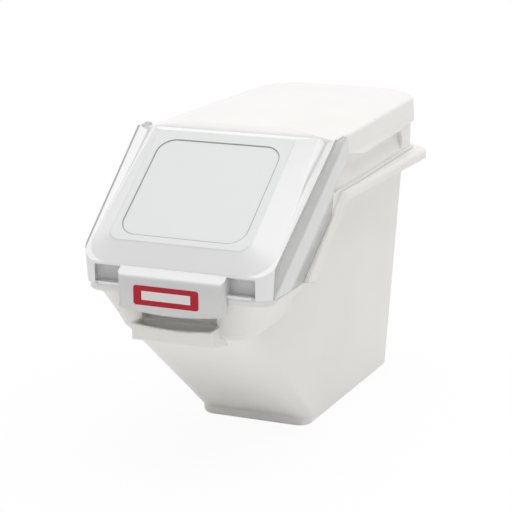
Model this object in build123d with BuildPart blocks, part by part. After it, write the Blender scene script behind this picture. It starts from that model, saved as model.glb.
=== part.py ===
from build123d import *
import math
import os

# Overall sizes of the bin, millimetres. X is across, the front faces -Y, Z is up, and the
# origin is the middle of the footprint box on the surface that the bin stands on.
OVERALL_LENGTH = 597.0
OVERALL_WIDTH = 292.0
OVERALL_HEIGHT = 428.0

# Fits and clearances
SEAT_GAP = 0.3
LID_END_GAP = 1.5
HINGE_SIDE_GAP = 0.4
STUD_CLEARANCE = 0.08
STUD_END_GAP = 1.0
LABEL_BACKSET = 0.1
SCOOP_HOOK_SIDE_GAP = 0.5
SCOOP_WALL_GAP = 3.0

# Draft of the upright moulded walls, as a share of their height
SIDE_FLARE = 0.0695
REAR_FLARE = 0.02

# Tub of the bin body: a low upright foot, a sloping front, and upright walls above
TUB_WALL = 3.0
BASE_SIDE_SET_BACK = 63.0
BASE_LENGTH = 325.0
BASE_REAR_SET_BACK = 15.0
BASE_CORNER_RADIUS = 20.0
BASE_EDGE = 2.5
FOOT_HEIGHT = 12.0
FRONT_WALL_HEIGHT = 55.0
FRONT_WALL_SET_BACK = 16.0
FRONT_CORNER_RADIUS = 36.0
REAR_CORNER_RADIUS = 14.0
UPSTAND = 12.0
UPSTAND_REAR_GAP = 43.5

# Rim of the bin body: level behind, sloping in the middle, level and lower in front
COVER_HEIGHT = 83.0
RIM_DROP = 95.0
RIM_SLOPE_LENGTH = 121.0
RIM_BEND_SET_BACK = 35.0
FLANGE_THICKNESS = 12.0
FLANGE_REAR_THICKNESS = 16.0
FLANGE_CORNER_RADIUS = 34.0
FLANGE_TOP_RADIUS = 7.0
FLANGE_FOOT_RADIUS = 2.5
FLANGE_BEND_RADIUS = 25.0
TRACK_WIDTH = 9.0
TRACK_DEPTH = 4.0
TRACK_SIDE_GAP = 0.8
FRONT_RIM_THICKNESS = 10.0
FRONT_RIM_SIDE_SET_BACK = 13.0
FRONT_RIM_REACH = 14.0
FRONT_RIM_RADIUS = 30.0
FRONT_RIM_EDGE_RADIUS = 2.0
FRONT_RIM_END = 19.0
COVE_HEIGHT = 50.0
COVE_INSET = 8.0
COVE_FADE = 62.0

# Pull below the lid handle: a finger pocket in the front wall with a lip under it
PULL_WIDTH = 114.0
PULL_LIP_DROP = 44.0
PULL_LIP_HEIGHT = 22.0
PULL_LIP_THICKNESS = 4.0
PULL_LIP_REACH = 24.5
PULL_LIP_EDGE_RADIUS = 2.0
PULL_BOW = 4.0
PULL_POCKET_HEIGHT = 30.0
PULL_POCKET_DEPTH = 12.0
PULL_TROUGH_DEPTH = 14.0
PULL_FOOT_DROP = 74.0

# Clear front lid: a hood with a sloping panel
LID_WALL = 3.0
LID_LENGTH = 193.0
LID_TOP_DROP = 5.5
LID_FRONT_RISE = 30.4
LID_CORNER_RADIUS = 26.0
PLATEAU_RISE = 19.0
PLATEAU_SIDE_MARGIN = 47.5
PLATEAU_SET_BACK = 22.0
PLATEAU_FRONT_MARGIN = 25.0
PLATEAU_CORNER_RADIUS = 16.0
BEVEL_REAR_MARGIN = 27.0
BEVEL_FRONT_MARGIN = 13.0
BEVEL_CORNER_RADIUS = 38.0
VALLEY_DEPTH = 5.5
VALLEY_FOOT_MARGIN = 23.0
VALLEY_BOTTOM_MARGIN = 16.5
VALLEY_CREST_MARGIN = 1.5
VALLEY_FRONT_DEPTH = 1.2
VALLEY_FRONT_FOOT_MARGIN = 14.5
VALLEY_FRONT_BOTTOM_MARGIN = 13.0
VALLEY_FRONT_CREST_MARGIN = 11.0
VALLEY_LENGTH = 205.0
WINDOW_SIDE_MARGIN = 10.5
WINDOW_REAR_MARGIN = 16.0
WINDOW_FRONT_MARGIN = 10.0
WINDOW_CORNER_RADIUS = 24.0
WINDOW_STEP = 0.9

# Recess across the front of the lid, under the lip of the panel
LID_RECESS_SIDE_MARGIN = 33.0
LID_RECESS_DEPTH = 11.0
LID_RECESS_CORNER = 8.0
LID_RECESS_EDGE = 2.0
LID_FOOT_BAR = 3.7
LID_LIP_BAR = 3.4

# Handle of the lid, hollow and open below
HANDLE_REACH = 13.0
HANDLE_WIDTH = 149.0
HANDLE_DROP = 22.0
HANDLE_BOW = 6.5
HANDLE_TOP_FALL = 9.0
HANDLE_WALL = 3.0
HANDLE_EDGE_RADIUS = 6.5

# Hinge of the lid: a stud inside each ear turns in a socket of the cover
HINGE_SET_BACK = 33.0
HINGE_DROP = 34.0
STUD_RADIUS = 4.0
SOCKET_RADIUS = 9.0
SOCKET_LENGTH = 12.0
SOCKET_END_WALL = 1.5
EAR_RADIUS = 14.5
EAR_CREST_RISE = 14.0
EAR_CREST_LEAD = 7.5
EAR_ROOT_HEIGHT = 62.0

# Rear cover: a band round the top, and a narrower body below it
COVER_WALL = 3.0
COVER_SIDE_SET_BACK = 7.5
COVER_SIDE_TAPER = 12.0
COVER_REAR_SET_BACK = 1.0
COVER_REAR_FLARE = 0.05
COVER_STRAIGHT = 97.5
COVER_CORNER_RADIUS = 34.0
COVER_REAR_BOW = 6.0
COVER_BAND_HEIGHT = 40.0
COVER_BAND_UNDERCUT = 6.0
COVER_BODY_INSET = 5.0
COVER_CROWN_MARGIN = 62.5
COVER_CROWN_FALL = 8.5
COVER_FRONT_ROUND = 26.0
COVER_EDGE_RADIUS = 5.0
COVER_MOUTH_MARGIN = 26.5
COVER_MOUTH_DROP = 30.0
COVER_MOUTH_RADIUS = 22.0

# Grips scooped into both sides of the cover, with a flared lip above and a foot below
GRIP_FRONT_SET_BACK = 42.0
GRIP_REAR_SET_BACK = 77.0
GRIP_DROP = 45.0
GRIP_FRONT_RISE = 10.0
GRIP_RISE_START = 60.0
GRIP_RISE_LENGTH = 50.0
GRIP_RISE_RADIUS = 60.0
GRIP_END_RADIUS = 16.0
GRIP_DEPTH = 12.0
GRIP_FOOT_INSET = 1.0
GRIP_FOOT_HEIGHT = 3.5
GRIP_STEPS = 5
GRIP_LIP_HEIGHT = 9.0
GRIP_LIP_REACH = 3.5
GRIP_LIP_SHORTFALL = 8.0

# Label plate on the handle
LABEL_WIDTH = 92.0
LABEL_HEIGHT = 26.0
LABEL_THICKNESS = 1.0
LABEL_CORNER_RADIUS = 4.0
LABEL_CENTRE_X = -5.0
LABEL_CENTRE_RISE = 17.5

# Scoop that hangs on the left edge of the tub
SCOOP_WALL = 2.5
SCOOP_SET_BACK = 63.5
SCOOP_WIDTH = 88.0
SCOOP_DEPTH = 56.0
SCOOP_LENGTH = 112.0
SCOOP_BOWL_DROP = 105.0
SCOOP_BOWL_RADIUS = 24.0
SCOOP_MOUTH_CUT = 34.0
SCOOP_HANDLE_WIDTH = 26.0
SCOOP_HANDLE_THICKNESS = 9.0
SCOOP_HOOK_DROP = 9.0
SCOOP_HOOK_WALL = 3.0

# Widths that follow from the sizes above
BASE_WIDTH = OVERALL_WIDTH - 2 * BASE_SIDE_SET_BACK
FRONT_RIM_WIDTH = OVERALL_WIDTH - 2 * FRONT_RIM_SIDE_SET_BACK
LID_TOP_WIDTH = OVERALL_WIDTH
PLATEAU_WIDTH = LID_TOP_WIDTH - 2 * PLATEAU_SIDE_MARGIN
BEVEL_REAR_WIDTH = LID_TOP_WIDTH - 2 * BEVEL_REAR_MARGIN
BEVEL_FRONT_WIDTH = LID_TOP_WIDTH - 2 * BEVEL_FRONT_MARGIN
WINDOW_WIDTH = PLATEAU_WIDTH - 2 * WINDOW_SIDE_MARGIN
LID_RECESS_WIDTH = LID_TOP_WIDTH - 2 * LID_RECESS_SIDE_MARGIN
COVER_FRONT_WIDTH = OVERALL_WIDTH - 2 * COVER_SIDE_SET_BACK
COVER_REAR_WIDTH = COVER_FRONT_WIDTH - 2 * COVER_SIDE_TAPER
COVER_CROWN_WIDTH = COVER_FRONT_WIDTH - 2 * COVER_CROWN_MARGIN
COVER_MOUTH_WIDTH = COVER_FRONT_WIDTH - 2 * COVER_MOUTH_MARGIN

# Places along the bin that follow from the sizes above
FRONT = -OVERALL_LENGTH / 2
REAR = OVERALL_LENGTH / 2
LID_FRONT = FRONT + HANDLE_REACH
LID_REAR = LID_FRONT + LID_LENGTH
COVER_FRONT = LID_REAR + LID_END_GAP
HINGE_Y = LID_REAR + HINGE_SET_BACK
RIM_SLOPE_TOP = LID_REAR + RIM_BEND_SET_BACK
RIM_SLOPE_FOOT = RIM_SLOPE_TOP - RIM_SLOPE_LENGTH
FRONT_WALL = LID_FRONT + FRONT_WALL_SET_BACK
RIM_FRONT = FRONT_WALL - FRONT_RIM_REACH
PULL_FRONT = FRONT_WALL - PULL_LIP_REACH
BASE_REAR = REAR - BASE_REAR_SET_BACK
BASE_FRONT = BASE_REAR - BASE_LENGTH
GRIP_FRONT = COVER_FRONT + GRIP_FRONT_SET_BACK
GRIP_REAR = REAR - GRIP_REAR_SET_BACK
SCOOP_Y = BASE_FRONT + SCOOP_SET_BACK

# Heights that follow from the sizes above
RIM_REAR_HEIGHT = OVERALL_HEIGHT - COVER_HEIGHT
RIM_FRONT_HEIGHT = RIM_REAR_HEIGHT - RIM_DROP
FRONT_SLOPE_TOP = RIM_FRONT_HEIGHT - FRONT_WALL_HEIGHT
COVER_BOTTOM = RIM_REAR_HEIGHT + SEAT_GAP
COVER_BAND_BOTTOM = OVERALL_HEIGHT - COVER_BAND_HEIGHT
COVER_MOUTH_TOP = OVERALL_HEIGHT - COVER_MOUTH_DROP
GRIP_TOP = OVERALL_HEIGHT - GRIP_DROP
HINGE_Z = OVERALL_HEIGHT - HINGE_DROP
LID_REAR_HEIGHT = OVERALL_HEIGHT - LID_TOP_DROP
LID_FRONT_HEIGHT = RIM_FRONT_HEIGHT + LID_FRONT_RISE
LID_FOOT = RIM_FRONT_HEIGHT + SEAT_GAP
HANDLE_BOTTOM = RIM_FRONT_HEIGHT - HANDLE_DROP
LABEL_CENTRE_HEIGHT = HANDLE_BOTTOM + LABEL_CENTRE_RISE
PULL_LIP_TOP = RIM_FRONT_HEIGHT - PULL_LIP_DROP
PULL_FOOT_HEIGHT = RIM_FRONT_HEIGHT - PULL_FOOT_DROP
SCOOP_BOWL_TOP = RIM_REAR_HEIGHT - SCOOP_BOWL_DROP

# Slopes and the plane of the lid's panel
RIM_SLOPE = RIM_DROP / RIM_SLOPE_LENGTH
RIM_ANGLE = math.atan(RIM_SLOPE)
FRONT_SLOPE_RUN = (BASE_FRONT - FRONT_WALL) / (FRONT_SLOPE_TOP - FOOT_HEIGHT)
LID_FALL = LID_REAR_HEIGHT - LID_FRONT_HEIGHT
LID_PANEL_LENGTH = math.hypot(LID_LENGTH, LID_FALL)
LID_ANGLE = math.atan2(LID_FALL, LID_LENGTH)
LID_PANEL_PLANE = Plane(
    origin=(0, LID_REAR, LID_REAR_HEIGHT),
    x_dir=(1, 0, 0),
    z_dir=(0, -math.sin(LID_ANGLE), math.cos(LID_ANGLE)),
)

# Reach of cutting blocks past what they cut
BEYOND = 60.0
WIDE = OVERALL_WIDTH
LONG = OVERALL_LENGTH


def tub_half_width(height):
    """Outer half width of the tub at a height."""
    return BASE_WIDTH / 2 + SIDE_FLARE * height


def lid_half_width(height):
    """Outer half width of the lid at a height."""
    return LID_TOP_WIDTH / 2 - SIDE_FLARE * (LID_REAR_HEIGHT - height)


def rim_height(y):
    """Height of the top of the rim at a place along the bin."""
    along_slope = min(max(RIM_SLOPE_TOP - y, 0), RIM_SLOPE_TOP - RIM_SLOPE_FOOT)
    return RIM_REAR_HEIGHT - RIM_SLOPE * along_slope


def side_prism(points, half_width):
    """Outline in the side view, points of (y, z), drawn out across the bin."""
    with BuildPart() as prism:
        with BuildSketch(Plane.YZ):
            with BuildLine():
                Polyline(*points, close=True)
            make_face()
        extrude(amount=half_width, both=True)
    return prism.part


def front_wedge(half_width, bottom, top, inset):
    """Block whose side faces lean out as half_width says, drawn out along the bin."""
    with BuildPart() as wedge:
        with BuildSketch(Plane.XZ):
            with BuildLine():
                Polyline(
                    (inset - half_width(bottom), bottom),
                    (half_width(bottom) - inset, bottom),
                    (half_width(top) - inset, top),
                    (inset - half_width(top), top),
                    close=True,
                )
            make_face()
        extrude(amount=LONG, both=True)
    return wedge.part


def leaning_corners(shape, faces_ahead):
    """Edges between the side faces of a block and the faces given."""
    side_edges = shape.faces().filter_by(lambda f: abs(f.normal_at().X) > 0.9).edges()
    return [edge for edge in faces_ahead.edges() if edge in side_edges]


def rounded_plan(height, half_width, front, rear, front_radius, rear_radius):
    """Rectangle with rounded corners at a height, on a sketch of its own."""
    with BuildSketch(Plane.XY.offset(height)) as plan:
        with Locations((0, (front + rear) / 2)):
            Rectangle(2 * half_width, rear - front)
        fillet(vertices().sort_by(Axis.Y)[:2], front_radius)
        fillet(vertices().sort_by(Axis.Y)[-2:], rear_radius)
    return plan.sketch


def tub_plan(height, front, front_radius, inset):
    """Plan of the tub at a height, inset inside its outer faces."""
    return rounded_plan(
        height,
        tub_half_width(height) - inset,
        front,
        BASE_REAR + REAR_FLARE * height - inset,
        front_radius - inset,
        REAR_CORNER_RADIUS - inset,
    )


def tub_block(inset, floor, top):
    """Tub as a block from floor to top, whose faces lie inset inside the outer ones."""
    slant = inset * math.hypot(1, FRONT_SLOPE_RUN)
    foot = BASE_FRONT + inset
    wall = FRONT_WALL + inset
    slope_foot = FOOT_HEIGHT + (slant - inset) / FRONT_SLOPE_RUN
    slope_top = FOOT_HEIGHT + (BASE_FRONT + slant - wall) / FRONT_SLOPE_RUN
    with BuildPart() as tub:
        add(tub_plan(floor, foot + BASE_EDGE, BASE_CORNER_RADIUS, inset + BASE_EDGE))
        add(tub_plan(floor + BASE_EDGE, foot, BASE_CORNER_RADIUS, inset))
        add(tub_plan(slope_foot, foot, BASE_CORNER_RADIUS, inset))
        add(tub_plan(slope_top, wall, FRONT_CORNER_RADIUS, inset))
        add(tub_plan(top, wall, FRONT_CORNER_RADIUS, inset))
        loft(ruled=True)
    return tub.part


def below_upstand():
    """Room below the upper edge of the tub, which stands above the rim except at the rear."""
    edge_rear = RIM_REAR_HEIGHT + UPSTAND
    edge_front = RIM_FRONT_HEIGHT + UPSTAND
    return side_prism(
        [
            (FRONT - BEYOND, -BEYOND),
            (REAR + BEYOND, -BEYOND),
            (REAR + BEYOND, RIM_REAR_HEIGHT),
            (REAR - UPSTAND_REAR_GAP, RIM_REAR_HEIGHT),
            (REAR - UPSTAND_REAR_GAP, edge_rear),
            (RIM_SLOPE_TOP, edge_rear),
            (RIM_SLOPE_FOOT, edge_front),
            (FRONT - BEYOND, edge_front),
        ],
        WIDE,
    )


def broad_flange():
    """Handling flange along the rear and both sides, down to the foot of the sloping rim."""
    thick = FLANGE_THICKNESS
    lower_bend = RIM_SLOPE_TOP + thick * math.tan(RIM_ANGLE / 2)
    drop = RIM_DROP - thick
    with BuildPart() as flange:
        with BuildSketch(Plane.YZ):
            with BuildLine():
                Polyline(
                    (REAR, RIM_REAR_HEIGHT),
                    (RIM_SLOPE_TOP, RIM_REAR_HEIGHT),
                    (RIM_SLOPE_FOOT, RIM_FRONT_HEIGHT),
                    (lower_bend - drop / RIM_SLOPE, RIM_FRONT_HEIGHT),
                    (lower_bend, RIM_REAR_HEIGHT - thick),
                    (REAR, RIM_REAR_HEIGHT - FLANGE_REAR_THICKNESS),
                    close=True,
                )
            make_face()
            lower = vertices().filter_by(lambda v: v.Y < RIM_REAR_HEIGHT - thick / 2)
            fillet(lower.sort_by(Axis.Y)[-1], FLANGE_BEND_RADIUS)
        extrude(amount=OVERALL_WIDTH / 2, both=True)
        rear_corners = flange.edges().filter_by(Axis.Z).sort_by(Axis.Y)[-2:]
        fillet(rear_corners, FLANGE_CORNER_RADIUS)
        skirt = flange.faces().filter_by(lambda f: abs(f.normal_at().Z) < 0.1)
        upper = flange.faces().filter_by(lambda f: f.normal_at().Z > 0.5)
        lower = flange.faces().filter_by(lambda f: f.normal_at().Z < -0.5)
        fillet([edge for edge in upper.edges() if edge in skirt.edges()], FLANGE_TOP_RADIUS)
        skirt = flange.faces().filter_by(lambda f: abs(f.normal_at().Z) < 0.1)
        fillet([edge for edge in lower.edges() if edge in skirt.edges()], FLANGE_FOOT_RADIUS)
    return flange.part


def front_rim():
    """Narrow rim round the front of the tub, on which the lid rests."""
    rear = RIM_SLOPE_FOOT + FRONT_RIM_END
    length = rear - RIM_FRONT
    bottom = RIM_FRONT_HEIGHT - FRONT_RIM_THICKNESS
    with BuildPart() as rim:
        with BuildSketch(Plane.XY.offset(bottom)):
            with Locations((0, RIM_FRONT + length / 2)):
                Rectangle(FRONT_RIM_WIDTH, length)
            fillet(vertices().sort_by(Axis.Y)[:2], FRONT_RIM_RADIUS)
        extrude(amount=FRONT_RIM_THICKNESS)
        rear_edges = rim.faces().sort_by(Axis.Y)[-1].edges()
        ahead = [edge for edge in rim.edges() if edge not in rear_edges]
        fillet(ShapeList(ahead).filter_by(Axis.Z, reverse=True), FRONT_RIM_EDGE_RADIUS)
        add(
            side_prism(
                [
                    (RIM_FRONT - BEYOND, bottom),
                    (rear - FRONT_RIM_THICKNESS / RIM_SLOPE, bottom),
                    (rear, RIM_FRONT_HEIGHT),
                    (RIM_FRONT - BEYOND, RIM_FRONT_HEIGHT),
                ],
                WIDE,
            ),
            mode=Mode.INTERSECT,
        )
    return rim.part


def cove_plan(height, half_width, front, radius):
    """Plan of the cove at a height, whose sides close in to the tub behind."""
    rear = RIM_SLOPE_FOOT + COVE_FADE
    rear_half = tub_half_width(height) - TUB_WALL / 2
    with BuildSketch(Plane.XY.offset(height)) as plan:
        with BuildLine():
            Polyline(
                (-half_width, front),
                (half_width, front),
                (half_width, RIM_SLOPE_FOOT),
                (rear_half, rear),
                (-rear_half, rear),
                (-half_width, RIM_SLOPE_FOOT),
                close=True,
            )
        make_face()
        fillet(vertices().sort_by(Axis.Y)[:2], radius)
    return plan.sketch


def front_rim_cove():
    """Sloping underside that runs from the front walls of the tub out to the rim."""
    top = RIM_FRONT_HEIGHT - FRONT_RIM_THICKNESS
    foot = top - COVE_HEIGHT
    half_foot = tub_half_width(foot) - TUB_WALL / 2
    with BuildPart() as cove:
        add(cove_plan(foot, half_foot, FRONT_WALL + TUB_WALL / 2, FRONT_CORNER_RADIUS))
        add(
            cove_plan(
                top,
                FRONT_RIM_WIDTH / 2 - COVE_INSET,
                RIM_FRONT + COVE_INSET,
                FRONT_RIM_RADIUS,
            )
        )
        loft(ruled=True)
    return cove.part


def lid_track():
    """Shallow channel in the rim, just inside the side walls of the lid."""
    inner = LID_WALL + TRACK_SIDE_GAP
    low = RIM_FRONT_HEIGHT - BEYOND
    high = OVERALL_HEIGHT + BEYOND
    front = LID_FRONT + LID_CORNER_RADIUS
    with BuildPart() as track:
        add(
            side_prism(
                [
                    (front, RIM_FRONT_HEIGHT - TRACK_DEPTH),
                    (RIM_SLOPE_FOOT, RIM_FRONT_HEIGHT - TRACK_DEPTH),
                    (LID_REAR, rim_height(LID_REAR) - TRACK_DEPTH),
                    (LID_REAR, rim_height(LID_REAR) + TRACK_DEPTH),
                    (RIM_SLOPE_FOOT, RIM_FRONT_HEIGHT + TRACK_DEPTH),
                    (front, RIM_FRONT_HEIGHT + TRACK_DEPTH),
                ],
                WIDE,
            )
        )
        add(front_wedge(lid_half_width, low, high, inner), mode=Mode.INTERSECT)
        add(front_wedge(lid_half_width, low, high, inner + TRACK_WIDTH), mode=Mode.SUBTRACT)
    return track.part


def bowed_block(half_width, bottom, top, bow, back, ahead):
    """Block between two planes along Y whose lower and upper edges bow down in the middle."""
    with BuildPart() as block:
        with BuildSketch(Plane.XZ.offset(-back)):
            with BuildLine():
                ThreePointArc((-half_width, bottom), (0, bottom - bow), (half_width, bottom))
                Line((half_width, bottom), (half_width, top))
                ThreePointArc((half_width, top), (0, top - bow), (-half_width, top))
                Line((-half_width, top), (-half_width, bottom))
            make_face()
        extrude(amount=back - ahead)
    return block.part


def pull_lip():
    """Lip that is gripped from above, running back down into the sloping front wall."""
    bottom = PULL_LIP_TOP - PULL_LIP_HEIGHT
    wall_at_foot = BASE_FRONT - FRONT_SLOPE_RUN * (PULL_FOOT_HEIGHT - FOOT_HEIGHT)
    outline = [
        (FRONT_WALL + TUB_WALL / 2, PULL_LIP_TOP + PULL_BOW),
        (PULL_FRONT, PULL_LIP_TOP + PULL_BOW),
        (PULL_FRONT, bottom),
        (wall_at_foot, PULL_FOOT_HEIGHT),
        (wall_at_foot + TUB_WALL / 2, PULL_FOOT_HEIGHT + TUB_WALL),
    ]
    with BuildPart() as lip:
        add(side_prism(outline, PULL_WIDTH / 2))
        add(
            bowed_block(
                PULL_WIDTH / 2,
                PULL_FOOT_HEIGHT,
                PULL_LIP_TOP,
                PULL_BOW,
                BASE_FRONT,
                PULL_FRONT - BEYOND,
            ),
            mode=Mode.INTERSECT,
        )
        front_edges = lip.faces().sort_by(Axis.Y)[0].edges()
        fillet(front_edges, PULL_LIP_EDGE_RADIUS)
    return lip.part


def make_bin_body():
    """Tub, rim, flange and pull, moulded in one piece."""
    pocket_back = FRONT_WALL + PULL_POCKET_DEPTH
    trough_bottom = PULL_LIP_TOP - PULL_TROUGH_DEPTH
    with BuildPart() as body:
        add(tub_block(0, 0, RIM_REAR_HEIGHT + UPSTAND))
        add(below_upstand(), mode=Mode.INTERSECT)
        add(broad_flange())
        add(front_rim())
        add(front_rim_cove())
        add(pull_lip())
        add(lid_track(), mode=Mode.SUBTRACT)
        add(tub_block(TUB_WALL, TUB_WALL, RIM_REAR_HEIGHT + BEYOND), mode=Mode.SUBTRACT)
        pocket_middle = (FRONT_WALL + pocket_back + TUB_WALL) / 2
        with Locations((0, pocket_middle, PULL_LIP_TOP + PULL_POCKET_HEIGHT / 2)):
            Box(
                PULL_WIDTH + 2 * TUB_WALL,
                PULL_POCKET_DEPTH + TUB_WALL,
                PULL_POCKET_HEIGHT + 2 * TUB_WALL,
            )
        with Locations((0, pocket_back, PULL_LIP_TOP)):
            Box(
                PULL_WIDTH - 2 * PULL_LIP_THICKNESS,
                PULL_POCKET_DEPTH + BEYOND,
                PULL_POCKET_HEIGHT,
                align=(Align.CENTER, Align.MAX, Align.MIN),
                mode=Mode.SUBTRACT,
            )
        with Locations((0, FRONT_WALL, trough_bottom)):
            Box(
                PULL_WIDTH - 2 * PULL_LIP_THICKNESS,
                PULL_LIP_REACH - PULL_LIP_THICKNESS,
                PULL_TROUGH_DEPTH + PULL_POCKET_HEIGHT,
                align=(Align.CENTER, Align.MAX, Align.MIN),
                mode=Mode.SUBTRACT,
            )
    return body.part


def lid_hood(inset, foot, rear):
    """Hood block of the lid whose faces lie inset inside the outer ones."""
    panel_rear = LID_REAR_HEIGHT - inset / math.cos(LID_ANGLE)
    slope = math.tan(LID_ANGLE)
    front = LID_FRONT + inset
    outline = [
        (rear, panel_rear + slope * (rear - LID_REAR)),
        (front, panel_rear - slope * (LID_REAR - front)),
    ] + foot
    with BuildPart() as hood:
        add(side_prism(outline, WIDE))
        add(
            front_wedge(lid_half_width, RIM_FRONT_HEIGHT - BEYOND, OVERALL_HEIGHT + BEYOND, inset),
            mode=Mode.INTERSECT,
        )
        ahead = hood.faces().filter_by(lambda f: f.normal_at().Y < -0.99)
        fillet(leaning_corners(hood, ahead), LID_CORNER_RADIUS - inset)
    return hood.part


def lid_plateau(inset):
    """Raised middle of the panel with its bevels, whose faces lie inset inside the outer ones."""
    rear_half = BEVEL_REAR_WIDTH / 2 - inset
    front_half = BEVEL_FRONT_WIDTH / 2 - inset
    top_half = PLATEAU_WIDTH / 2 - inset
    top_front = LID_PANEL_LENGTH - PLATEAU_FRONT_MARGIN - inset
    base_front = LID_PANEL_LENGTH - inset
    with BuildPart() as plateau:
        with BuildSketch(LID_PANEL_PLANE.offset(-inset)):
            Polygon(
                (-rear_half, -inset),
                (-front_half, -base_front),
                (front_half, -base_front),
                (rear_half, -inset),
                align=None,
            )
            fillet(vertices().sort_by(Axis.Y)[:2], BEVEL_CORNER_RADIUS - inset)
        with BuildSketch(LID_PANEL_PLANE.offset(PLATEAU_RISE - inset)):
            Polygon(
                (-top_half, -PLATEAU_SET_BACK - inset),
                (-top_half, -top_front),
                (top_half, -top_front),
                (top_half, -PLATEAU_SET_BACK - inset),
                align=None,
            )
            fillet(vertices().sort_by(Axis.Y)[:2], PLATEAU_CORNER_RADIUS - inset)
        loft(ruled=True)
    return plateau.part


def lid_valley(inset):
    """Valleys between the bevels and the outer edges of the panel, sunk deeper by inset."""
    sink = inset / math.cos(LID_ANGLE)
    edge = LID_TOP_WIDTH / 2
    rear_end = (
        0,
        edge - VALLEY_FOOT_MARGIN,
        edge - VALLEY_BOTTOM_MARGIN,
        edge - VALLEY_CREST_MARGIN,
        VALLEY_DEPTH,
    )
    front_end = (
        VALLEY_LENGTH,
        edge - VALLEY_FRONT_FOOT_MARGIN,
        edge - VALLEY_FRONT_BOTTOM_MARGIN,
        edge - VALLEY_FRONT_CREST_MARGIN,
        VALLEY_FRONT_DEPTH,
    )
    with BuildPart() as valley:
        for along, foot, bottom, crest, depth in (rear_end, front_end):
            section = Plane(
                origin=LID_PANEL_PLANE.from_local_coords((0, -along, -sink)),
                x_dir=(1, 0, 0),
                z_dir=LID_PANEL_PLANE.y_dir,
            )
            rise = (depth + sink) / depth
            with BuildSketch(section):
                Polygon(
                    (bottom - rise * (bottom - foot), -sink),
                    (bottom, depth),
                    (bottom + rise * (crest - bottom), -sink),
                    align=None,
                )
        loft(ruled=True)
        mirror(about=Plane.YZ)
    return valley.part


def handle_profile(inset, bottom, back, back_foot):
    """Side outline of the handle, whose top falls away to the front."""
    front = FRONT + inset
    lip = LID_FRONT_HEIGHT - LID_LIP_BAR / 2 - inset
    shoulder = lip - HANDLE_TOP_FALL
    return [
        (back, lip),
        (LID_FRONT, lip),
        (front, shoulder),
        (front, bottom),
        (LID_FRONT + inset / 2, bottom),
        (LID_FRONT + inset / 2, back_foot),
        (back, back_foot),
    ]


def lid_handle():
    """Solid of the handle, before it is hollowed."""
    half = HANDLE_WIDTH / 2
    recess_floor = LID_FRONT + LID_RECESS_DEPTH
    with BuildPart() as handle:
        add(side_prism(handle_profile(0, HANDLE_BOTTOM - HANDLE_BOW, recess_floor, LID_FOOT), half))
        add(
            bowed_block(
                half,
                HANDLE_BOTTOM,
                LID_FRONT_HEIGHT + HANDLE_BOW,
                HANDLE_BOW,
                recess_floor,
                FRONT - BEYOND,
            ),
            mode=Mode.INTERSECT,
        )
        front_edges = handle.faces().sort_by(Axis.Y)[0].edges().sort_by(Axis.Z)
        fillet(front_edges[1:], HANDLE_EDGE_RADIUS)
    return handle.part


def hinge_ears():
    """Ears that carry the sides of the hood back past the hinge, leaning as the sides do."""
    low = RIM_FRONT_HEIGHT - BEYOND
    high = OVERALL_HEIGHT + BEYOND
    with BuildPart() as ears:
        with BuildSketch(Plane.YZ):
            with Locations(
                (HINGE_Y, HINGE_Z),
                (HINGE_Y - EAR_CREST_LEAD, HINGE_Z + EAR_CREST_RISE),
            ):
                Circle(EAR_RADIUS)
            with Locations((LID_REAR - LID_WALL, LID_REAR_HEIGHT - LID_WALL)):
                Rectangle(LID_WALL, EAR_ROOT_HEIGHT, align=(Align.CENTER, Align.MAX))
            make_hull()
        extrude(amount=WIDE, both=True)
        add(front_wedge(lid_half_width, low, high, 0), mode=Mode.INTERSECT)
        add(front_wedge(lid_half_width, low, high, LID_WALL), mode=Mode.SUBTRACT)
    return ears.part


def socket_face():
    """Distance from the middle of the bin to the outer face of a hinge socket."""
    return lid_half_width(HINGE_Z - EAR_RADIUS) - LID_WALL - HINGE_SIDE_GAP


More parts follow.
